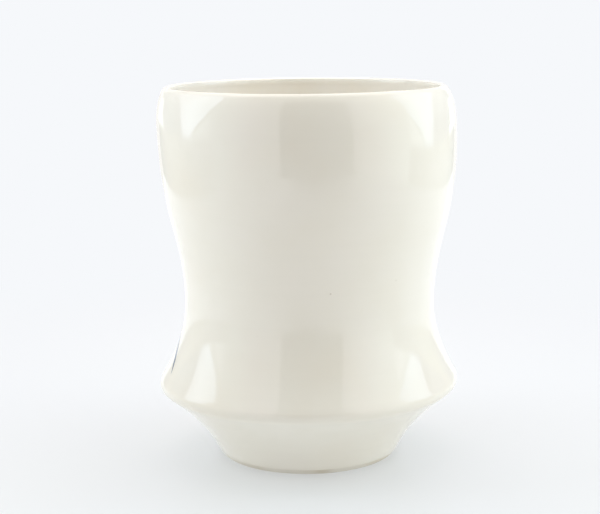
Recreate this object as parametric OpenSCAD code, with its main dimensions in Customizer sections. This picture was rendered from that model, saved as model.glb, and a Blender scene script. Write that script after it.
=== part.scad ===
// Thrown porcelain cup without a handle: a turned clay body, three glaze coats and a spray
// of brushed blades that lie flush in the outer glaze, at the back of the cup's left side.
// The cup stands on its foot at z = 0, centred on the Z axis, and its front faces -Y.
// Widths and heights are those of the finished, glazed cup.

/* [Lip and shoulder] */
// Height from the table to the top of the lip
cup_h = 110; // [100:1:130]
// Distance that the crest of the lip is drawn in from the shoulder, on each side
lip_draw = 3.4; // [2.4:0.1:4.6]
// Thickness of the lip
lip_t = 2.2; // [1.6:0.1:3]
// Inward lean of the outside as it reaches the lip, from upright
lip_angle = 35; // [28:1:50]
// Inward lean of the inside as it reaches the lip, from upright
lip_inner_angle = 20; // [14:1:30]
// Greatest width at the shoulder
shoulder_d = 87.8; // [86:0.2:92]
// Drop from the top of the lip to the widest part of the shoulder
shoulder_drop = 11.6; // [9:0.2:18]
// Length below the shoulder in which the wall keeps nearly upright
shoulder_pull = 27.4; // [16:0.2:32]

/* [Waist] */
// Width across the waist, where the cup is narrowest
waist_d = 74.2; // [68:0.2:80]
// Height of the waist above the table
waist_h = 46; // [40:0.5:54]
// Length above the waist in which the wall keeps nearly upright
waist_pull = 19.6; // [10:0.2:26]
// Length below the waist in which the inside keeps nearly upright
waist_inner_pull = 11; // [8:0.5:14]

/* [Belly edge] */
// Greatest width, across the belly edge
edge_d = 89.4; // [84:0.2:94]
// Height of the belly edge above the table
edge_h = 22.3; // [20:0.1:26]
// Radius of the rounding along the belly edge
edge_round = 2.5; // [1:0.1:4]
// Inward lean of the wall just above the belly edge, from upright
flare_angle = 30.5; // [26:0.5:38]
// Outward lean of the wall just below the belly edge, from upright
under_angle = 53; // [48:0.5:58]

/* [Walls and floor] */
// Thickness of the glazed wall at the shoulder and at the waist
wall_t = 3; // [2.4:0.1:4]
// Thickness from the belly edge to the widest part of the hollow behind it
edge_t = 5; // [4:0.1:7]
// Height of the widest part of the hollow above the belly edge
hollow_rise = 1.5; // [0:0.1:3]
// Length above the widest part of the hollow in which the inside keeps nearly upright
hollow_upper_pull = 3.5; // [2:0.5:6]
// Length below the widest part of the hollow in which the inside keeps nearly upright
hollow_lower_pull = 5; // [3:0.5:7]
// Height of the inside floor above the table
floor_h = 7.5; // [6:0.1:10]
// Width of the flat middle of the inside floor
floor_flat_d = 16; // [6:1:24]
// Reach of the floor's curve outside that flat middle
floor_pull = 15; // [10:0.5:18]

/* [Foot] */
// Outer width of the flat ring that the cup stands on
foot_d = 51; // [46:0.5:56]
// Width of that ring from its inner to its outer edge
foot_w = 3.2; // [2:0.1:6]
// Radius of the rounding on both edges of the foot
foot_round = 0.8; // [0.4:0.1:1]
// Outward lean of the wall just above the foot, from upright
foot_angle = 25.5; // [18:0.5:34]
// Height at which the glaze stops, above which the clay is covered
glaze_line_h = 1.6; // [1.4:0.1:2.2]
// Height of the ceiling of the recess under the foot
well_h = 3; // [2.6:0.1:4]
// Outward lean of the side of that recess, from upright
well_angle = 35; // [20:1:50]
// Width of the curve between the recess's side and its ceiling
well_round = 2.5; // [1:0.1:5]

/* [Glaze] */
// Thickness of each glaze coat
glaze_t = 0.4; // [0.2:0.05:0.6]

/* [Brushwork] */
// Height of the blades' lower tips above the belly edge
blade_rise = 4.7; // [4:0.1:8]
// Length of the longest blade
blade_length = 56; // [44:1:60]
// Width of that blade, half way up
blade_width = 4.6; // [2:0.1:5]
// Bow of that blade, out of a straight line
blade_bow = 4.5; // [4:0.1:8]
// Width of the largest dot
dot_d = 3.2; // [1.6:0.1:4]

/* [Hidden] */
$fn = 180;

// Each blade: azimuth of its lower tip, lean to the back from upright, and then its length,
// width and bow beside those of the longest blade.
// Azimuths are counted from +X towards +Y, so 180 is the cup's left and 90 its back.
blades = [
    [199, 53, 0.41, 0.52, 0.31],
    [170, 20, 1, 1, 1],
    [159, 28, 0.93, 0.91, 1],
    [148, 37, 0.8, 0.87, 0.89],
    [137, 46, 0.66, 0.78, 0.78],
    [126, 56, 0.5, 0.65, 0.67],
];
// Each dot: azimuth, height above the belly edge beside the longest blade's length, and width
// beside the largest dot's
dots = [
    [141, 1.18, 1],
    [121, 1.05, 0.8],
    [105, 0.86, 1],
    [160, 0.89, 0.75],
    [92, 0.62, 0.8],
];
// Points on a long curve and on a short or round one
long_steps = 16;
short_steps = 8;
// Sides of the large circles that bound a brush stroke
stroke_sides = 1440;
// Reach of the blades' cutting solids, past the widest part of the cup
cut_reach = max(edge_d, shoulder_d);

// Point at share t of the curve that runs from the first to the last point of c
function curve_at(c, t) = len(c) == 1 ? c[0]
    : curve_at([for (i = [0:len(c) - 2]) (1 - t) * c[i] + t * c[i + 1]], t);
// Points of that curve, without its end, which starts the next stretch
function curve(c, steps) = [for (i = [0:steps - 1]) curve_at(c, i / steps)];
// Points of a round stretch about c from angle a to angle b, without its end
function arc(c, r, a, b, steps) =
    [for (i = [0:steps - 1]) let (t = a + (b - a) * i / steps) c + r * [cos(t), sin(t)]];
// Where a line through p that leans outwards by a from upright reaches height z
function at_height(p, a, z) = [p[0] + (z - p[1]) * tan(a), z];
// Where a line through p that leans inwards by a from upright reaches radius r
function at_radius(p, a, r) = [r, p[1] + (p[0] - r) / tan(a)];
// Where lines through p and q that lean outwards by a and by b cross
function crossing(p, a, q, b) = at_height(p, a,
    (q[0] - p[0] + p[1] * tan(a) - q[1] * tan(b)) / (tan(a) - tan(b)));
function unit(v) = v / norm(v);
// Direction of a path at its point i
function heading(p, i) = let (last = len(p) - 1)
    unit((i > 0 ? unit(p[i] - p[i - 1]) : [0, 0]) + (i < last ? unit(p[i + 1] - p[i]) : [0, 0]));
// The path moved to its left by t
function inset(p, t) = [for (i = [0:len(p) - 1]) let (h = heading(p, i)) p[i] + t * [-h[1], h[0]]];
// Points a to b of a path
function stretch(p, a, b) = [for (i = [a:b]) p[i]];
// Closed outline between a path and another beside it
function band(p, q) = concat(p, [for (i = [len(q) - 1:-1:0]) q[i]]);

// Stations of the outside, from the foot to the lip, as [radius, height]
foot_c = [foot_d / 2, foot_round];
foot_normal = [cos(foot_angle), -sin(foot_angle)];
foot_side = foot_c + foot_round * foot_normal;
glaze_start = at_height(foot_side + glaze_t * foot_normal, foot_angle, glaze_line_h);
edge_c = [edge_d / 2 - edge_round, edge_h];
edge_low = edge_c + edge_round * [cos(under_angle), -sin(under_angle)];
edge_high = edge_c + edge_round * [cos(flare_angle), sin(flare_angle)];
waist = [waist_d / 2, waist_h];
shoulder = [shoulder_d / 2, cup_h - shoulder_drop];
lip_round = lip_t / 2;
lip_c = [shoulder[0] - lip_draw, cup_h - lip_round];
lip_out = lip_c + lip_round * [cos(lip_angle), sin(lip_angle)];
outer_line = concat(
    curve([glaze_start, crossing(glaze_start, foot_angle, edge_low, under_angle), edge_low], long_steps),
    arc(edge_c, edge_round, -under_angle, flare_angle, short_steps),
    curve([edge_high, at_radius(edge_high, flare_angle, waist[0]), waist], long_steps),
    curve([waist, waist + [0, waist_pull], shoulder - [0, shoulder_pull], shoulder], long_steps),
    curve([shoulder, at_radius(lip_out, lip_angle, shoulder[0]), lip_out], short_steps),
    arc(lip_c, lip_round, lip_angle, 90, short_steps)
);

// Stations of the inside, from the lip to the middle of the floor
lip_in = lip_c - lip_round * [cos(lip_inner_angle), sin(lip_inner_angle)];
inner_shoulder = shoulder - [wall_t, 0];
inner_waist = waist - [wall_t, 0];
hollow = [edge_d / 2 - edge_t, edge_h + hollow_rise];
floor_edge = [floor_flat_d / 2, floor_h];
inner_line = concat(
    arc(lip_c, lip_round, 90, 180 + lip_inner_angle, short_steps),
    curve([lip_in, at_radius(lip_in, lip_inner_angle, inner_shoulder[0]), inner_shoulder], short_steps),
    curve([inner_shoulder, inner_shoulder - [0, shoulder_pull],
        inner_waist + [0, waist_pull], inner_waist], long_steps),
    curve([inner_waist, inner_waist - [0, waist_inner_pull],
        hollow + [0, hollow_upper_pull], hollow], long_steps),
    curve([hollow, hollow - [0, hollow_lower_pull], floor_edge + [floor_pull, 0], floor_edge], long_steps),
    [floor_edge, [0, floor_h]]
);

// The glazed surface from the foot over the lip to the floor, and the clay under it
skin = concat(outer_line, inner_line);
clay_skin = inset(skin, glaze_t);
crest = len(outer_line);
floor_middle = len(skin) - 1;

// The recess under the foot, from its middle to the line where its glaze stops
foot_inner_c = [foot_d / 2 - foot_w, foot_round];
well_normal = [-cos(well_angle), -sin(well_angle)];
well_start = at_height(foot_inner_c + (foot_round + glaze_t) * well_normal, -well_angle, glaze_line_h);
well_corner = at_height(well_start, -well_angle, well_h);
well_line = concat(
    [[0, well_h]],
    curve([well_corner - [well_round, 0], well_corner, well_start], short_steps),
    [well_start]
);
clay_well = inset(well_line, glaze_t);

// Radius of the outside at height z
outer_radii = [for (p = outer_line) [p[1], p[0]]];
function outer_radius(z) = lookup(z, outer_radii);

module outer_coat() {
    rotate_extrude()
        polygon(band(stretch(skin, 0, crest), stretch(clay_skin, 0, crest)));
}

// A brush stroke between two tips a length apart, that swells to its width half way
module stroke(length, width, bow) {
    outer_bow = bow + width / 2;
    inner_bow = bow - width / 2;
    outer_r = (length * length / 4 + outer_bow * outer_bow) / (2 * outer_bow);
    inner_r = (length * length / 4 + inner_bow * inner_bow) / (2 * inner_bow);
    difference() {
        translate([outer_bow - outer_r, length / 2]) circle(outer_r, $fn = stroke_sides);
        translate([inner_bow - inner_r, length / 2]) circle(inner_r, $fn = stroke_sides);
    }
}

// Carries a flat shape outwards from the axis at an azimuth, upright and at a height
module carried(azimuth, height) {
    rotate([90, 0, 90 + azimuth]) translate([0, height, 0]) linear_extrude(cut_reach) children();
}

// The space of one blade, from the axis outwards
module blade_cut(b) {
    root_h = edge_h + blade_rise;
    length = b[2] * blade_length;
    half_span = length * sin(b[1]) / 2;
    carried(b[0] - asin(half_span / outer_radius(root_h)), root_h)
        translate([half_span, 0]) rotate(b[1]) stroke(length, b[3] * blade_width, b[4] * blade_bow);
}

module dots_cut() {
    for (d = dots) carried(d[0], edge_h + d[1] * blade_length) circle(d = d[2] * dot_d);
}

module clay_body() {
    color("#e6dccb") rotate_extrude() polygon(concat(
        clay_skin,
        clay_well,
        arc(foot_inner_c, foot_round, 180 + well_angle, 270, short_steps),
        [foot_inner_c - [0, foot_round]],
        arc(foot_c, foot_round, 270, 360 - foot_angle, short_steps),
        [foot_side]
    ));
}

module outer_glaze() {
    color("#efece0") difference() {
        outer_coat();
        for (b = blades) blade_cut(b);
        dots_cut();
    }
}

module liner_glaze() {
    color("#ece6d5") rotate_extrude()
        polygon(band(stretch(skin, crest, floor_middle), stretch(clay_skin, crest, floor_middle)));
}

module foot_well_glaze() {
    color("#ebe8dc") rotate_extrude() polygon(band(well_line, clay_well));
}

module brushed_blade(b) {
    color("#5f6e80") intersection() {
        outer_coat();
        blade_cut(b);
    }
}

module brushed_dots() {
    color("#6d7b8b") intersection() {
        outer_coat();
        dots_cut();
    }
}

clay_body();
outer_glaze();
liner_glaze();
foot_well_glaze();
for (i = [0:len(blades) - 1])
    brushed_blade(blades[i]);
brushed_dots();
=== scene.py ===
import math

import bpy
from mathutils import Matrix, Vector, noise


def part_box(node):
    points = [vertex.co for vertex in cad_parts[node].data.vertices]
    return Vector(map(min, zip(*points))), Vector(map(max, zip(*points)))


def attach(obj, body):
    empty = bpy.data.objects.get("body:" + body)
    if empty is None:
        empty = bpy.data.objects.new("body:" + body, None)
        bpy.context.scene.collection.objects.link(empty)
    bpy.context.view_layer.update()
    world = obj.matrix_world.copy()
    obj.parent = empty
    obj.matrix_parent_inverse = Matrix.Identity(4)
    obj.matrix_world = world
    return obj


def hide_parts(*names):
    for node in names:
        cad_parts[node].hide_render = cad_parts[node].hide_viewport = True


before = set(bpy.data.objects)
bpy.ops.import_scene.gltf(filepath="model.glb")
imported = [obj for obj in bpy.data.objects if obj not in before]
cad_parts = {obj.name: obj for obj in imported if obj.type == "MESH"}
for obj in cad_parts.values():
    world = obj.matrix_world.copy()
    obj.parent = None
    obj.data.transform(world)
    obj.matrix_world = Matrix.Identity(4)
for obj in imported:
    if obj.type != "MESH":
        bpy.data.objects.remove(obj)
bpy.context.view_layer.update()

mm = 0.001

# A thrown porcelain cup: clay, three glaze coats and brushwork, each turned or drawn on the
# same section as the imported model. All sizes are in millimetres until a mesh is made.
cup = {
    "height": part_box("outer_glaze")[1].z / mm,
    "lipDraw": 3.4, "lipThickness": 2.2, "lipLean": 35, "lipInnerLean": 20,
    "shoulderWidth": 87.8, "shoulderDrop": 11.6, "shoulderPull": 27.4,
    "waistWidth": 74.2, "waistHeight": 46, "waistPull": 19.6, "waistInnerPull": 11,
    "edgeWidth": 2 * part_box("outer_glaze")[1].x / mm, "edgeHeight": 22.3, "edgeRound": 2.5,
    "flareLean": 30.5, "underLean": 53,
    "wall": 3, "edgeWall": 5, "hollowRise": 1.5, "hollowUpperPull": 3.5, "hollowLowerPull": 5,
    "floorHeight": 7.5, "floorFlatWidth": 16, "floorPull": 15,
    "footWidth": 51, "footRingWidth": 3.2, "footRound": 0.8, "footLean": 25.5,
    "glazeLine": 1.6, "wellHeight": 3, "wellLean": 35, "wellRound": 2.5,
    "glaze": 0.4,
}

# How far the hand left the true circle: the rings wander to the right half way up, the belly
# is a little oval one way and the top the other way, and throwing lines stay under the glaze.
hand = {
    "wander": 0.86, "wanderSecond": -0.095,
    "oval": 0.65, "ovalTurn": 45, "roundAt": 57, "ovalRise": 30, "ovalStart": 25,
    "rings": [(13.0, 0.012, 0.4), (7.3, 0.006, 1.9), (4.1, 0.003, 3.1)],  # spacing, depth, start
    "ringFade": 6,
    "swell": 0.05, "swellSize": 34, "swellStart": 10,
}

mesh = {
    "turnSteps": 400, "clayTurnSteps": 144, "curveSteps": 48, "roundSteps": 16,
    "spacing": 0.8, "hiddenSpacing": 3.0, "claySpacing": 1.2, "clayFootSpacing": 0.3,
    "weld": 0.002, "sharpFrom": 38,
}


def deselectAll():
    if bpy.context.object and bpy.context.object.mode != "OBJECT":
        bpy.ops.object.mode_set(mode="OBJECT")
    bpy.ops.object.select_all(action="DESELECT")


def lean(angle):
    return math.tan(math.radians(angle))


def polar(angle):
    return Vector((math.cos(math.radians(angle)), math.sin(math.radians(angle))))


def bend(corners, steps=mesh["curveSteps"]):  # the curve that the corners pull, without its end
    points = []
    for i in range(steps):
        left = [Vector(corner) for corner in corners]
        while len(left) > 1:
            left = [a.lerp(b, i / steps) for a, b in zip(left, left[1:])]
        points.append(left[0])
    return points


def rounding(centre, radius, start, end, steps=mesh["roundSteps"]):  # an arc without its end
    return [centre + radius * polar(start + (end - start) * i / steps) for i in range(steps)]


def atHeight(point, angle, height):  # along a line that leans outwards
    return Vector((point.x + (height - point.y) * lean(angle), height))


def atRadius(point, angle, radius):  # along a line that leans inwards
    return Vector((radius, point.y + (point.x - radius) / lean(angle)))


def crossing(a, leanA, b, leanB):
    height = (b.x - a.x + a.y * lean(leanA) - b.y * lean(leanB)) / (lean(leanA) - lean(leanB))
    return atHeight(a, leanA, height)


def up(point, rise):
    return point + Vector((0, rise))


footCentre = Vector((cup["footWidth"] / 2, cup["footRound"]))
footInner = Vector((cup["footWidth"] / 2 - cup["footRingWidth"], cup["footRound"]))
footNormal = polar(-cup["footLean"])
footSide = footCentre + cup["footRound"] * footNormal
glazeStart = atHeight(footSide + cup["glaze"] * footNormal, cup["footLean"], cup["glazeLine"])
edgeCentre = Vector((cup["edgeWidth"] / 2 - cup["edgeRound"], cup["edgeHeight"]))
edgeLow = edgeCentre + cup["edgeRound"] * polar(-cup["underLean"])
edgeHigh = edgeCentre + cup["edgeRound"] * polar(cup["flareLean"])
waist = Vector((cup["waistWidth"] / 2, cup["waistHeight"]))
shoulder = Vector((cup["shoulderWidth"] / 2, cup["height"] - cup["shoulderDrop"]))
lipRound = cup["lipThickness"] / 2
lipCentre = Vector((shoulder.x - cup["lipDraw"], cup["height"] - lipRound))
lipOut = lipCentre + lipRound * polar(cup["lipLean"])
lipIn = lipCentre - lipRound * polar(cup["lipInnerLean"])
crest = up(lipCentre, lipRound)


def outsideLine():
    return (
        bend([glazeStart, crossing(glazeStart, cup["footLean"], edgeLow, cup["underLean"]), edgeLow])
        + rounding(edgeCentre, cup["edgeRound"], -cup["underLean"], cup["flareLean"])
        + bend([edgeHigh, atRadius(edgeHigh, cup["flareLean"], waist.x), waist])
        + bend([waist, up(waist, cup["waistPull"]), up(shoulder, -cup["shoulderPull"]), shoulder])
        + bend([shoulder, atRadius(lipOut, cup["lipLean"], shoulder.x), lipOut])
        + rounding(lipCentre, lipRound, cup["lipLean"], 90)
        + [crest]
    )


def insideLine():
    wall = Vector((cup["wall"], 0))
    neck = shoulder - wall
    narrow = waist - wall
    hollow = Vector((cup["edgeWidth"] / 2 - cup["edgeWall"], cup["edgeHeight"] + cup["hollowRise"]))
    floorEdge = Vector((cup["floorFlatWidth"] / 2, cup["floorHeight"]))
    floorBend = floorEdge + Vector((cup["floorPull"], 0))
    return (
        rounding(lipCentre, lipRound, 90, 180 + cup["lipInnerLean"])
        + bend([lipIn, atRadius(lipIn, cup["lipInnerLean"], neck.x), neck])
        + bend([neck, up(neck, -cup["shoulderPull"]), up(narrow, cup["waistPull"]), narrow])
        + bend([narrow, up(narrow, -cup["waistInnerPull"]), up(hollow, cup["hollowUpperPull"]), hollow])
        + bend([hollow, up(hollow, -cup["hollowLowerPull"]), floorBend, floorEdge])
        + [floorEdge, Vector((0, cup["floorHeight"]))]
    )


def wellLine():
    outwards = (cup["footRound"] + cup["glaze"]) * polar(180 + cup["wellLean"])
    start = atHeight(footInner + outwards, -cup["wellLean"], cup["glazeLine"])
    corner = atHeight(start, -cup["wellLean"], cup["wellHeight"])
    return (
        [Vector((0, cup["wellHeight"]))]
        + bend([corner - Vector((cup["wellRound"], 0)), corner, start])
        + [start]
    )


def footLine():
    return (
        rounding(footInner, cup["footRound"], 180 + cup["wellLean"], 270)
        + [up(footInner, -cup["footRound"])]
        + rounding(footCentre, cup["footRound"], 270, 360 - cup["footLean"])
        + [footSide]
    )


def evenly(points, spacing):  # the same path with its points at least that far apart
    kept = [points[0]]
    for point in points[1:-1]:
        if (point - kept[-1]).length >= spacing and (point - points[-1]).length >= spacing / 2:
            kept.append(point)
    return kept + [points[-1]]


def leftOf(points, i):  # square to the path at one of its points
    heading = (points[min(i + 1, len(points) - 1)] - points[max(i - 1, 0)]).normalized()
    return Vector((-heading.y, heading.x))


def inset(points, depth):  # the path moved to its left
    return [point + depth * leftOf(points, i) for i, point in enumerate(points)]


def coat(points):  # a closed section: the glaze's face, and its back against the clay
    return points + evenly(inset(points, cup["glaze"]), mesh["hiddenSpacing"])[::-1]


def throwingLines(points):  # rings left by the fingers, which die out at both ends
    total = sum((b - a).length for a, b in zip(points, points[1:]))
    length = 0
    shaped = []
    for i, point in enumerate(points):
        length += (point - points[i - 1]).length if i else 0
        share = min(1, length / hand["ringFade"], (total - length) / hand["ringFade"])
        depth = sum(size * math.sin(math.tau * length / wave + start) for wave, size, start in hand["rings"])
        shaped.append(point - share * depth * leftOf(points, i))
    return shaped


def wander(height):  # how far to the right the centre of a ring lies, beside the belly edge's
    def lie(h):
        turn = math.pi * h / cup["height"]
        return hand["wander"] * math.sin(turn) + hand["wanderSecond"] * math.sin(2 * turn)
    return lie(height) - lie(cup["edgeHeight"])


def shapeByHand(piece):
    for vertex in piece.data.vertices:
        spot = vertex.co / mm
        radius = math.hypot(spot.x, spot.y)
        if radius > 0:
            outwards = Vector((spot.x, spot.y, 0)) / radius
            turn = math.atan2(spot.y, spot.x) - math.radians(hand["ovalTurn"])
            way = max(-1, min(1, (hand["roundAt"] - spot.z) / hand["ovalRise"]))
            way *= min(1, spot.z / hand["ovalStart"])
            oval = hand["oval"] * math.cos(2 * turn) * way
            swell = hand["swell"] * noise.noise(spot / hand["swellSize"])
            spot += outwards * (oval + swell * min(1, spot.z / hand["swellStart"]))
        spot.x += wander(spot.z)
        vertex.co = spot * mm


def weld():
    bpy.ops.mesh.select_all(action="SELECT")
    bpy.ops.mesh.remove_doubles(threshold=mesh["weld"] * mm)


def turned(name, points, steps):  # a closed section drawn point by point, then spun round
    deselectAll()
    bpy.ops.mesh.primitive_plane_add(size=mm, location=(points[0].x * mm, 0, points[0].y * mm))
    piece = bpy.context.object
    piece.name = name
    bpy.ops.object.mode_set(mode="EDIT")
    bpy.ops.mesh.select_all(action="SELECT")
    bpy.ops.mesh.merge(type="CENTER")
    for before, after in zip(points, points[1:] + points[:1]):
        step = (after - before) * mm
        bpy.ops.mesh.extrude_region_move(TRANSFORM_OT_translate={"value": (step.x, 0, step.y)})
    weld()
    bpy.ops.mesh.select_all(action="SELECT")
    bpy.ops.mesh.spin(steps=steps, angle=math.tau, center=(0, 0, 0), axis=(0, 0, 1))
    weld()
    bpy.ops.mesh.normals_make_consistent(inside=False)
    bpy.ops.object.mode_set(mode="OBJECT")
    bpy.ops.object.transform_apply(location=True, rotation=True, scale=True)
    shapeByHand(piece)
    bpy.ops.object.shade_smooth_by_angle(angle=math.radians(mesh["sharpFrom"]))
    return piece


def finishPiece(piece, material, slot, *nodes):
    piece.data.materials.clear()
    piece.data.materials.append(material)
    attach(piece, "root")
    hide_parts(*nodes)
    print("made", piece.name, len(piece.data.polygons), "faces")


def linear(hexColour):  # a colour code as the light that it stands for
    parts = [int(hexColour[i:i + 2], 16) / 255 for i in (1, 3, 5)]
    return tuple(p / 12.92 if p <= 0.04045 else ((p + 0.055) / 1.055) ** 2.4 for p in parts) + (1,)


def newMaterial(name):
    material = bpy.data.materials.new(name)
    material.use_nodes = True
    material.node_tree.nodes.clear()
    return material, material.node_tree


def addNode(tree, kind, settings=None):  # a setting is a value, or the socket that feeds it
    node = tree.nodes.new(kind)
    for key, value in (settings or {}).items():
        if isinstance(value, bpy.types.NodeSocket):
            tree.links.new(value, node.inputs[key])
        elif isinstance(key, int) or key in node.inputs:
            node.inputs[key].default_value = value
        else:
            setattr(node, key, value)
    return node


def ramped(tree, value, stops):
    node = addNode(tree, "ShaderNodeValToRGB", {"Fac": value})
    elements = node.color_ramp.elements
    while len(elements) < len(stops):
        elements.new(1)
    for element, (place, hexColour) in zip(elements, stops):
        element.position = place
        element.color = linear(hexColour)
    return node.outputs["Color"]


def ranged(tree, value, start, end, low=0, high=1, way="LINEAR"):  # low at the start, high past the end
    return addNode(tree, "ShaderNodeMapRange", {
        "interpolation_type": way, "Value": value,
        "From Min": start, "From Max": end, "To Min": low, "To Max": high,
    }).outputs["Result"]


def blended(tree, share, under, over):  # one colour where the share is 0 and the other where it is 1
    return addNode(tree, "ShaderNodeMix", {"data_type": "RGBA", 0: share, 6: under, 7: over}).outputs[2]


def maths(tree, operation, *values):
    return addNode(tree, "ShaderNodeMath", {"operation": operation, **dict(enumerate(values))}).outputs[0]


def apart(tree, value, middle):  # how far a value is from the middle one, either way
    return maths(tree, "ABSOLUTE", maths(tree, "SUBTRACT", value, middle))


def clouds(tree, place, size, detail=2.0, roughness=0.5):  # soft noise of about that size
    return addNode(tree, "ShaderNodeTexNoise", {
        "Vector": place, "Scale": 1 / (size * mm), "Detail": detail, "Roughness": roughness,
    }).outputs["Fac"]


def objectPlace(tree):
    return addNode(tree, "ShaderNodeTexCoord").outputs["Object"]


def axis(tree, place, letter):
    return addNode(tree, "ShaderNodeSeparateXYZ", {"Vector": place}).outputs[letter]


def bumped(tree, height, depth):
    return addNode(tree, "ShaderNodeBump", {
        "Strength": 1.0, "Distance": depth * mm, "Height": height,
    }).outputs["Normal"]


def surface(tree, shader):
    addNode(tree, "ShaderNodeOutputMaterial", {"Surface": shader.outputs[0]})


glazeLook = {
    "ivory": "#ece8db", "thin": "#ede9dd", "pooled": "#ebe6d8",
    # the liner's paler colours are painted light: they brighten the shaded inside of the cup
    "liner": "#f8f5ec", "linerPooled": "#f7f2e5", "linerFade": 3,
    "mottle": 22, "mottleStops": (0.3, 0.5, 0.7),
    "ringWidth": 1.8, "ringStretch": 0.04, "ringNoise": (0.25, 0.75), "ringTone": 0.004,
    "speck": "#8a744a", "speckGrid": 6.0, "speckChance": 0.2, "speckRadius": 0.2,
    "speckEdge": 0.012, "speckStrength": 0.7, "speckCore": 1 / 3,
    "seenSpecks": [  # where the photo shows one: place, radius and how strongly it shows
        ((6.05, -37.2, 55.3), 0.34, 0.3),
        ((-14.25, -34.3, 42.95), 0.26, 0.35),
        ((24.4, -29.4, 57.3), 0.3, 0.2),
    ],
    "roughness": 0.035, "ior": 1.5, "peelSize": 2.4, "peelDepth": 0.0006,
}
ivoryTones = [glazeLook["thin"], glazeLook["ivory"], glazeLook["pooled"]]
linerTones = [glazeLook["liner"], glazeLook["liner"], glazeLook["linerPooled"]]


def glazeTone(tree, place, tones):
    # Ivory glaze over white clay: slow clouds where it lies thinner and thicker, and faint
    # rings from the thrower's fingers
    mottle = clouds(tree, place, glazeLook["mottle"], detail=3.0, roughness=0.45)
    tone = ramped(tree, mottle, list(zip(glazeLook["mottleStops"], tones)))
    squeezed = addNode(tree, "ShaderNodeMapping", {
        "Vector": place, "Scale": (glazeLook["ringStretch"], glazeLook["ringStretch"], 1.0),
    }).outputs["Vector"]
    rings = clouds(tree, squeezed, glazeLook["ringWidth"])
    light = ranged(tree, rings, *glazeLook["ringNoise"], 1 - glazeLook["ringTone"], 1 + glazeLook["ringTone"])
    colour = addNode(tree, "ShaderNodeVectorMath", {"operation": "SCALE", 0: tone, "Scale": light})
    return specked(tree, place, colour.outputs["Vector"])


def specked(tree, place, colour):
    # Brown specks of iron: rare ones anywhere, and those that the photo shows at their places
    cells = addNode(tree, "ShaderNodeTexVoronoi", {
        "Vector": place, "Scale": 1 / (glazeLook["speckGrid"] * mm),
    })
    chance = addNode(tree, "ShaderNodeSeparateColor", {"Color": cells.outputs["Color"]}).outputs["Red"]
    largest = glazeLook["speckRadius"] / glazeLook["speckGrid"]
    reach = ranged(tree, chance, 1 - glazeLook["speckChance"], 1.0, high=largest)
    within = maths(tree, "SUBTRACT", reach, cells.outputs["Distance"])
    specks = [ranged(tree, within, 0.0, glazeLook["speckEdge"], high=glazeLook["speckStrength"])]
    for spot, radius, strength in glazeLook["seenSpecks"]:
        away = addNode(tree, "ShaderNodeVectorMath", {
            "operation": "DISTANCE", 0: place, 1: [part * mm for part in spot],
        }).outputs["Value"]
        specks.append(ranged(tree, away, radius * mm, radius * mm * glazeLook["speckCore"], high=strength))
    for speck in specks:
        colour = blended(tree, speck, colour, linear(glazeLook["speck"]))
    return colour


def glossy(tree, colour, place):
    # A fired gloss glaze is never quite flat: a very shallow orange peel breaks its highlights
    peel = clouds(tree, place, glazeLook["peelSize"], detail=1.0)
    surface(tree, addNode(tree, "ShaderNodeBsdfPrincipled", {
        "Base Color": colour, "Normal": bumped(tree, peel, glazeLook["peelDepth"]),
        "Roughness": glazeLook["roughness"], "IOR": glazeLook["ior"],
    }))


def pouredIvory():
    # Poured and fired clear ivory glaze: an even glassy gloss over a warm white body
    material, tree = newMaterial("poured_ivory_glaze")
    place = objectPlace(tree)
    glossy(tree, glazeTone(tree, place, ivoryTones), place)
    return material


def pouredLiner():
    # The same glaze swilled round inside: it is ivory on the lip's crest and paler below it. The paler colour
    # is painted light, which brightens the cup's shaded inside
    material, tree = newMaterial("poured_liner_glaze")
    place = objectPlace(tree)
    top = cup["height"] * mm
    below = ranged(tree, axis(tree, place, "Z"), top, top - glazeLook["linerFade"] * mm)
    pale = glazeTone(tree, place, linerTones)
    glossy(tree, blended(tree, below, linear(glazeLook["ivory"]), pale), place)
    return material


clayLook = {
    "bone": "#dedacd", "toast": "#cfc7b4", "toastSize": 14, "toastStops": (0.4, 0.75),
    "grain": 0.35, "grainDepth": 0.02, "roughness": 0.75,
}


def trimmedPorcelain():
    # Bare fired porcelain, trimmed on the wheel: a dry, fine-grained off-white, toasted in places
    material, tree = newMaterial("trimmed_bare_porcelain")
    place = objectPlace(tree)
    blush = clouds(tree, place, clayLook["toastSize"])
    tone = ramped(tree, blush, list(zip(clayLook["toastStops"], (clayLook["bone"], clayLook["toast"]))))
    grain = clouds(tree, place, clayLook["grain"])
    surface(tree, addNode(tree, "ShaderNodeBsdfPrincipled", {
        "Base Color": tone, "Normal": bumped(tree, grain, clayLook["grainDepth"]),
        "Roughness": clayLook["roughness"],
    }))
    return material


stainLook = {
    "deep": "#4f5f74", "wash": "#8b99a8", "stops": (0.35, 0.7),
    "hairs": 14, "hairBreaks": 1.5,  # streaks across a mark and along it
    "edge": 0.16,  # share of the width that fades at each side
}


def brushedStain():
    # Cobalt and iron stain brushed on and melted into the glaze: slate blue, streaked by the
    # brush's hairs and paler at its edges. A mark's middle is at 0.5 of its UV width.
    material, tree = newMaterial("brushed_slate_stain")
    coords = addNode(tree, "ShaderNodeTexCoord")
    place = coords.outputs["Object"]
    stretched = addNode(tree, "ShaderNodeMapping", {
        "Vector": coords.outputs["UV"], "Scale": (stainLook["hairs"], stainLook["hairBreaks"], 1.0),
    })
    hairs = addNode(tree, "ShaderNodeTexNoise", {
        "Vector": stretched.outputs["Vector"], "Scale": 1.0, "Detail": 2.0,
    }).outputs["Fac"]
    tone = ramped(tree, hairs, list(zip(stainLook["stops"], (stainLook["deep"], stainLook["wash"]))))
    beside = apart(tree, axis(tree, coords.outputs["UV"], "X"), 0.5)
    fade = ranged(tree, beside, 0.5, 0.5 - stainLook["edge"])
    glossy(tree, blended(tree, fade, glazeTone(tree, place, ivoryTones), tone), place)
    return material


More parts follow.
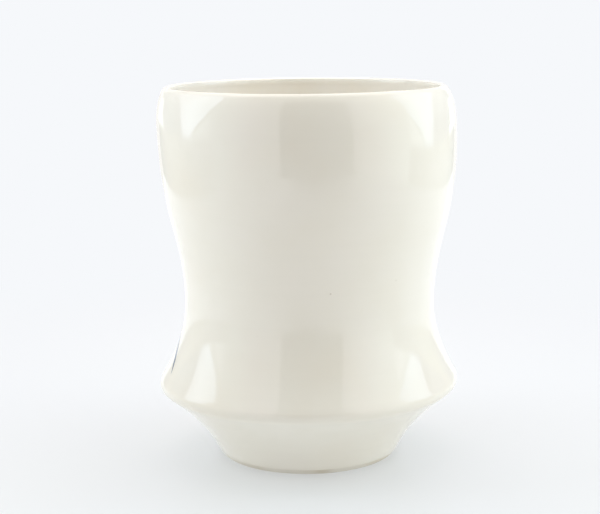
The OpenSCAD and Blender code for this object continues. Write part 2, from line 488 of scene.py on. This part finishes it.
# The camera first: an 85 mm lens a forearm away, a little above the lip and looking down
camera = {
    "lens": 85, "sensor": 36, "distance": 416.2, "height": 134.6, "aside": -0.56,
    "pitch": 10.307, "roll": -0.689, "yaw": 0.244,
}


def placeCamera():
    deselectAll()
    place = (camera["aside"], -camera["distance"], camera["height"])
    bpy.ops.object.camera_add(location=[part * mm for part in place])
    eye = bpy.context.object
    eye.name = "camera"
    eye.data.lens = camera["lens"]
    eye.data.sensor_width = camera["sensor"]
    turn = (Matrix.Rotation(math.radians(camera["yaw"]), 3, "Z")
            @ Matrix.Rotation(math.radians(90 - camera["pitch"]), 3, "X")
            @ Matrix.Rotation(math.radians(camera["roll"]), 3, "Z"))
    eye.rotation_euler = turn.to_euler()
    bpy.context.scene.camera = eye
    print("camera placed")


placeCamera()

outside = throwingLines(evenly(outsideLine(), mesh["spacing"]))
inside = throwingLines(evenly(insideLine(), mesh["spacing"]))
well = evenly(wellLine(), mesh["spacing"])

ivoryGlaze = pouredIvory()
linerGlaze = pouredLiner()
bareClay = trimmedPorcelain()

skin = turned("outer_glaze_coat", coat(outside), mesh["turnSteps"])
finishPiece(skin, ivoryGlaze, "ivory_glaze", "outer_glaze")
liner = turned("liner_glaze_coat", coat(inside), mesh["turnSteps"])
finishPiece(liner, linerGlaze, "liner_glaze", "liner_glaze")
wellCoat = turned("foot_well_coat", coat(well), mesh["turnSteps"])
finishPiece(wellCoat, ivoryGlaze, "ivory_glaze", "foot_well_glaze")

claySkin = evenly(inset(outsideLine()[:-1] + insideLine(), cup["glaze"]), mesh["claySpacing"])
clayFoot = evenly(inset(wellLine(), cup["glaze"]), mesh["clayFootSpacing"]) + footLine()
body = turned("porcelain_body", claySkin + clayFoot, mesh["clayTurnSteps"])
finishPiece(body, bareClay, "bare_porcelain", "clay_body")

# Brushwork: blades that lean to the back, and dots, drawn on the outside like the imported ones
brush = {
    "rise": 4.7, "length": 56, "width": 4.6, "bow": 4.5, "tip": 0.1, "dot": 3.2,
    "proud": 0.03, "depth": 0.3, "alongSteps": 48, "acrossSteps": 10, "sharpFrom": 50,
    "shake": 0.12, "shakesAlong": 9, "shakesAcross": 2, "dotShake": 0.08,
    "dotCorners": 96, "dotRings": 5, "dotRingWidth": 0.09,
    "blades": [  # azimuth, lean, and length, width and bow beside those of the longest blade
        (199, 53, 0.41, 0.52, 0.31), (170, 20, 1, 1, 1), (159, 28, 0.93, 0.91, 1),
        (148, 37, 0.8, 0.87, 0.89), (137, 46, 0.66, 0.78, 0.78), (126, 56, 0.5, 0.65, 0.67),
    ],
    "dots": [  # azimuth, height beside the longest blade's length, width beside the largest dot's
        (141, 1.18, 1), (121, 1.05, 0.8), (105, 0.86, 1), (160, 0.89, 0.75), (92, 0.62, 0.8),
    ],
}


def outerRadius(height):
    for low, high in zip(outside, outside[1:]):
        if low.y <= height <= high.y:
            return low.x + (high.x - low.x) * (height - low.y) / (high.y - low.y)
    return outside[0].x


def onTheCup(azimuth, aside, height):  # a flat brush mark wrapped on the outside
    radius = outerRadius(height)
    angle = math.radians(azimuth) + math.asin(aside / radius)
    proud = radius + brush["proud"]
    return Vector((proud * math.cos(angle), proud * math.sin(angle), height))


def thicken(piece):
    shapeByHand(piece)
    solid = piece.modifiers.new("depth", "SOLIDIFY")
    solid.thickness = brush["depth"] * mm
    solid.offset = -1
    bpy.ops.object.modifier_apply(modifier=solid.name)
    bpy.ops.object.shade_smooth_by_angle(angle=math.radians(brush["sharpFrom"]))


def bladeStroke(name, blade):
    azimuth, leaning, lengthShare, widthShare, bowShare = blade
    length = lengthShare * brush["length"]
    width = widthShare * brush["width"]
    bow = bowShare * brush["bow"]
    root = cup["edgeHeight"] + brush["rise"]
    halfSpan = length * math.sin(math.radians(leaning)) / 2
    middle = azimuth - math.degrees(math.asin(halfSpan / outerRadius(root)))
    deselectAll()
    bpy.ops.mesh.primitive_grid_add(
        size=1, x_subdivisions=brush["acrossSteps"], y_subdivisions=brush["alongSteps"])
    piece = bpy.context.object
    piece.name = name
    for vertex in piece.data.vertices:
        across = vertex.co.x * 2  # -1 at the left edge, 1 at the right one
        along = vertex.co.y + 0.5  # 0 at the root, 1 at the tip
        belly = 4 * along * (1 - along)  # 0 at both ends, 1 half way
        grain = Vector((along * brush["shakesAlong"], across * brush["shakesAcross"], azimuth))
        shaky = 1 + brush["shake"] * noise.noise(grain)
        aside = bow * belly + across * (width * belly * shaky + brush["tip"]) / 2
        flat = Matrix.Rotation(math.radians(leaning), 2) @ Vector((aside, along * length))
        vertex.co = onTheCup(middle, flat.x + halfSpan, root + flat.y) * mm
    thicken(piece)
    return piece


def paintDot(azimuth, rise, share):
    deselectAll()
    bpy.ops.mesh.primitive_circle_add(vertices=brush["dotCorners"], radius=0.5, fill_type="NGON")
    dot = bpy.context.object
    bpy.ops.object.mode_set(mode="EDIT")
    bpy.ops.mesh.select_all(action="SELECT")
    for ring in range(brush["dotRings"]):
        bpy.ops.mesh.inset(thickness=brush["dotRingWidth"])
    bpy.ops.object.mode_set(mode="OBJECT")
    height = cup["edgeHeight"] + rise * brush["length"]
    for vertex in dot.data.vertices:
        shaky = 1 + brush["dotShake"] * noise.noise(Vector((vertex.co.x, vertex.co.y, azimuth)))
        flat = vertex.co * brush["dot"] * share * shaky
        vertex.co = onTheCup(azimuth, flat.x, height + flat.y) * mm
    for corner in dot.data.uv_layers.active.data:  # across runs from the middle to the edge
        corner.uv.x = 0.5 + (corner.uv - Vector((0.5, 0.5))).length
    thicken(dot)
    return dot


def dotStrokes():
    dots = [paintDot(*dot) for dot in brush["dots"]]
    deselectAll()
    for dot in dots:
        dot.select_set(True)
    bpy.context.view_layer.objects.active = dots[0]
    bpy.ops.object.join()
    dots[0].name = "dot_strokes"
    return dots[0]


slateStain = brushedStain()
for number, blade in enumerate(brush["blades"], 1):
    stroke = bladeStroke("blade_stroke_%d" % number, blade)
    finishPiece(stroke, slateStain, "slate_blue_stain", "brushed_blade_%d" % number)
finishPiece(dotStrokes(), slateStain, "slate_blue_stain", "brushed_dots")

# Stage: a pale floor in a white light tent, lit through its two sides, open at the front.
# The tent's walls are out of the camera's sight, and what they do is seen in the glaze.
stage = {
    "floorRadius": 3000, "floorCorners": 96,
    # floorGlow is the sheet's share of glow near the cup: painted light that lifts the cup's shadow on the
    # floor
    "floor": "#dadddc", "floorRoughness": 0.28, "floorGlow": 0.35,
    "backdrop": "#f6f8fb", "fadeFrom": 110, "fadeTo": 290, "air": 0.9,
    "bounce": 1.3,  # the sheet's light on the cup beside what the picture can show of it
    "dusk": {  # how far in front of the cup it starts and is whole, then across: centre, half widths
        "from": 100, "to": 340, "aside": 36, "middle": 50, "edge": 150, "bounce": 0.27,
    },
    "left": -290, "right": 300, "front": -400, "back": 460, "roof": 520, "roofSplit": -60,
    "gapLeft": -160, "gapRight": 233, "gapDepth": 55, "sill": 0.5,
    "windowFront": {"left": -90, "right": -76}, "windowLow": 66, "patchTop": 150,
    "rim": (128, 252, 224), "rimWidth": 15, "rearEdge": (266, 60, 205),  # back, height, radius
    "fades": {  # how far back a lit side's share starts to grow, and where it is whole
        "near": (-300, -120), "early": (60, 20), "core": (100, -10), "front": (230, 150),
        "rear": (100, 400),
    },
    "soft": {  # half the width over which an edge on a lit side fades
        "open": 2, "low": 8, "patch": 12, "rim": 1, "rearEdge": 8, "line": 2,
    },
    "light": {  # red, green, blue
        "gap": (0.05, 0.05, 0.05), "front": (1.11, 1.03, 1.06), "roofFront": (0.94, 0.98, 0.91),
        "roofBack": (2.25, 2.05, 2.05), "back": (0.97, 0.96, 0.97),
        "left": {
            "far": (1.07, 0.95, 1.0), "near": (1.08, 1.16, 1.08), "beside": (1.62, 1.72, 1.65),
            "rim": (1.18, 1.22, 1.1), "core": (2.8, 3.2, 3.65), "window": (1.35, 1.42, 1.65),
            "behind": (0.47, 0.49, 0.53), "low": (0.75, 0.73, 0.65), "rear": (0.57, 0.56, 0.55),
        },
        "right": {
            "far": (1.48, 1.4, 1.4), "near": (1.72, 1.82, 1.74), "beside": (2.25, 2.38, 2.35),
            "rim": (1.62, 1.78, 1.75), "core": (2.5, 2.9, 3.3), "window": (1.5, 1.65, 2.1),
            "behind": (0.56, 0.56, 0.67), "low": (0.87, 0.85, 0.75), "rear": (0.53, 0.54, 0.56),
        },
    },
}


def softly(tree, value, start, end, low=0):  # a share that grows to 1 between two places
    return ranged(tree, value, start * mm, end * mm, low, 1, "SMOOTHSTEP")


def backdropWorld():
    world = bpy.data.worlds.new("tent")
    bpy.context.scene.world = world
    world.use_nodes = True
    tree = world.node_tree
    tree.nodes.clear()
    seen = addNode(tree, "ShaderNodeLightPath").outputs["Is Camera Ray"]
    air = addNode(tree, "ShaderNodeBackground", {"Color": (1, 1, 1, 1), "Strength": stage["air"]})
    back = addNode(tree, "ShaderNodeBackground", {"Color": linear(stage["backdrop"]), "Strength": 1.0})
    mixed = addNode(tree, "ShaderNodeMixShader", {0: seen, 1: air.outputs[0], 2: back.outputs[0]})
    addNode(tree, "ShaderNodeOutputWorld", {"Surface": mixed.outputs[0]})
    world.cycles.sampling_method = "NONE"


def paleSheet():
    material, tree = newMaterial("pale_floor")
    place = objectPlace(tree)
    away = addNode(tree, "ShaderNodeVectorMath", {"operation": "LENGTH", 0: place}).outputs["Value"]
    # Near the cup a share of the sheet glows: painted light that lifts the cup's shadow on it. Further out it
    # glows wholly as the even backdrop.
    fade = softly(tree, away, stage["fadeFrom"], stage["fadeTo"], stage["floorGlow"])
    sheet = addNode(tree, "ShaderNodeBsdfPrincipled", {
        "Base Color": linear(stage["floor"]), "Roughness": stage["floorRoughness"],
    })
    # Out of the picture, in front of the cup, the sheet runs into the dark of the room
    dusk = stage["dusk"]
    ahead = softly(tree, axis(tree, place, "Y"), -dusk["from"], -dusk["to"])
    beside = apart(tree, axis(tree, place, "X"), dusk["aside"] * mm)
    dark = maths(tree, "MULTIPLY", ahead, softly(tree, beside, dusk["edge"], dusk["middle"]))
    felt = ranged(tree, dark, 0, 1, stage["bounce"], dusk["bounce"])
    seen = addNode(tree, "ShaderNodeLightPath").outputs["Is Camera Ray"]
    glow = addNode(tree, "ShaderNodeEmission", {
        "Color": linear(stage["backdrop"]), "Strength": ranged(tree, seen, 0, 1, felt, 1),
    })
    surface(tree, addNode(tree, "ShaderNodeMixShader", {0: fade, 1: sheet.outputs[0], 2: glow.outputs[0]}))
    material.cycles.emission_sampling = "NONE"
    return material


def paleFloor():
    deselectAll()
    bpy.ops.mesh.primitive_circle_add(
        vertices=stage["floorCorners"], radius=stage["floorRadius"] * mm, fill_type="NGON")
    floor = bpy.context.object
    floor.name = "floor"
    floor.data.materials.append(paleSheet())


def glowing(name, colour):
    material, tree = newMaterial(name)
    surface(tree, addNode(tree, "ShaderNodeEmission", {"Color": (*colour, 1)}))
    material.cycles.emission_sampling = "NONE"
    return material


def fromCentre(tree, place, back, height):  # how far a spot of a lit side is from a point on it
    flat = addNode(tree, "ShaderNodeVectorMath", {
        "operation": "MULTIPLY_ADD", 0: place, 1: (0, 1, 1), 2: (0, -back * mm, -height * mm),
    })
    length = addNode(tree, "ShaderNodeVectorMath", {"operation": "LENGTH", 0: flat.outputs["Vector"]})
    return length.outputs["Value"]


def litSide(name, colours, windowFront):
    # One side of the tent: a round lamp outside it makes a bright window, which ends at the
    # tent's front panel, at a second round edge behind and at the lamp's stand below. Round
    # the window, the lamp's rim is a duller line.
    material, tree = newMaterial(name)
    place = objectPlace(tree)
    back, height = axis(tree, place, "Y"), axis(tree, place, "Z")
    rimBack, rimHeight, rim = stage["rim"]
    rearBack, rearHeight, rear = stage["rearEdge"]
    fromRim = fromCentre(tree, place, rimBack, rimHeight)
    fromRear = fromCentre(tree, place, rearBack, rearHeight)
    acrossRim = apart(tree, fromRim, rim * mm)
    shares = {key: softly(tree, back, start, end) for key, (start, end) in stage["fades"].items()}
    soft = stage["soft"]
    for key, value, edge, width in (  # a share is whole past its edge, or short of it for a minus width
        ("open", back, windowFront, soft["open"]),
        ("above", height, stage["windowLow"], soft["low"]),
        ("below", height, stage["windowLow"], -soft["low"]),
        ("under", height, stage["patchTop"], -soft["patch"]),
        ("within", fromRim, rim, -soft["rim"]),
        ("outside", fromRim, rim, soft["rim"]),
        ("before", fromRear, rear, soft["rearEdge"]),
        ("line", acrossRim, stage["rimWidth"] / 2, -soft["line"]),
    ):
        shares[key] = softly(tree, value, edge - width, edge + width)
    lit = (*colours["far"], 1)
    for key, within in (  # each colour covers the ones before it where all its shares are whole
        ("near", ("near",)), ("behind", ("open",)), ("low", ("open", "below")), ("rear", ("rear",)),
        ("near", ("open", "early", "outside", "above")),
        ("beside", ("open", "outside", "above", "under")),
        ("window", ("open", "within", "before", "above", "front")),
        ("core", ("open", "within", "before", "above", "core")),
        ("rim", ("open", "before", "above", "line")),
    ):
        share = shares[within[0]]
        for other in within[1:]:
            share = maths(tree, "MULTIPLY", share, shares[other])
        lit = blended(tree, share, lit, (*colours[key], 1))
    surface(tree, addNode(tree, "ShaderNodeEmission", {"Color": lit}))
    material.cycles.emission_sampling = "NONE"
    return material


def tentPanel(name, centre, width, height, tilt, turn, material):
    deselectAll()
    place = [part * mm for part in centre]
    facing = (math.radians(tilt), 0, math.radians(turn))
    bpy.ops.mesh.primitive_plane_add(size=1, location=place, rotation=facing)
    panel = bpy.context.object
    panel.name = name
    panel.scale = (width * mm, height * mm, 1)
    bpy.ops.object.transform_apply(location=True, rotation=True, scale=True)
    panel.data.materials.append(material)
    panel.visible_camera = False


def tentWall(name, corner, opposite, material):  # a panel across one axis, between two corners
    low, high = Vector(corner), Vector(opposite)
    size = high - low
    if size.z == 0:
        tentPanel(name, (low + high) / 2, size.x, size.y, 0, 0, material)
    elif size.y == 0:
        tentPanel(name, (low + high) / 2, size.x, size.z, 90, 0, material)
    else:
        tentPanel(name, (low + high) / 2, size.y, size.z, 90, 90, material)


def lightTent():
    light = stage["light"]
    left, right, front, back, roof = (stage[key] for key in ("left", "right", "front", "back", "roof"))
    gapLeft, gapRight, sill, split = (stage[key] for key in ("gapLeft", "gapRight", "sill", "roofSplit"))
    cloth = glowing("tent_front_cloth", light["front"])
    room = glowing("dark_room", light["gap"])
    roofFront = glowing("roof_front", light["roofFront"])
    roofBack = glowing("roof_back", light["roofBack"])
    tentWall("tent_gap", (gapLeft, front, 0), (gapRight, front, roof), room)
    tentWall("tent_sill", (gapLeft, front, sill), (gapRight, front + stage["gapDepth"], sill), room)
    tentWall("front_left", (left, front, 0), (gapLeft, front, roof), cloth)
    tentWall("front_right", (gapRight, front, 0), (right, front, roof), cloth)
    tentWall("roof_front", (left, front, roof), (right, split, roof), roofFront)
    tentWall("roof_back", (left, split, roof), (right, back, roof), roofBack)
    tentWall("tent_back", (left, back, 0), (right, back, roof), glowing("tent_back", light["back"]))
    for name, x in (("left", left), ("right", right)):
        lit = litSide("lit_" + name, light[name], stage["windowFront"][name])
        tentWall("tent_" + name, (x, front, 0), (x, back, roof), lit)


backdropWorld()
paleFloor()
lightTent()
bpy.context.scene.view_settings.view_transform = "Standard"
print("stage set")
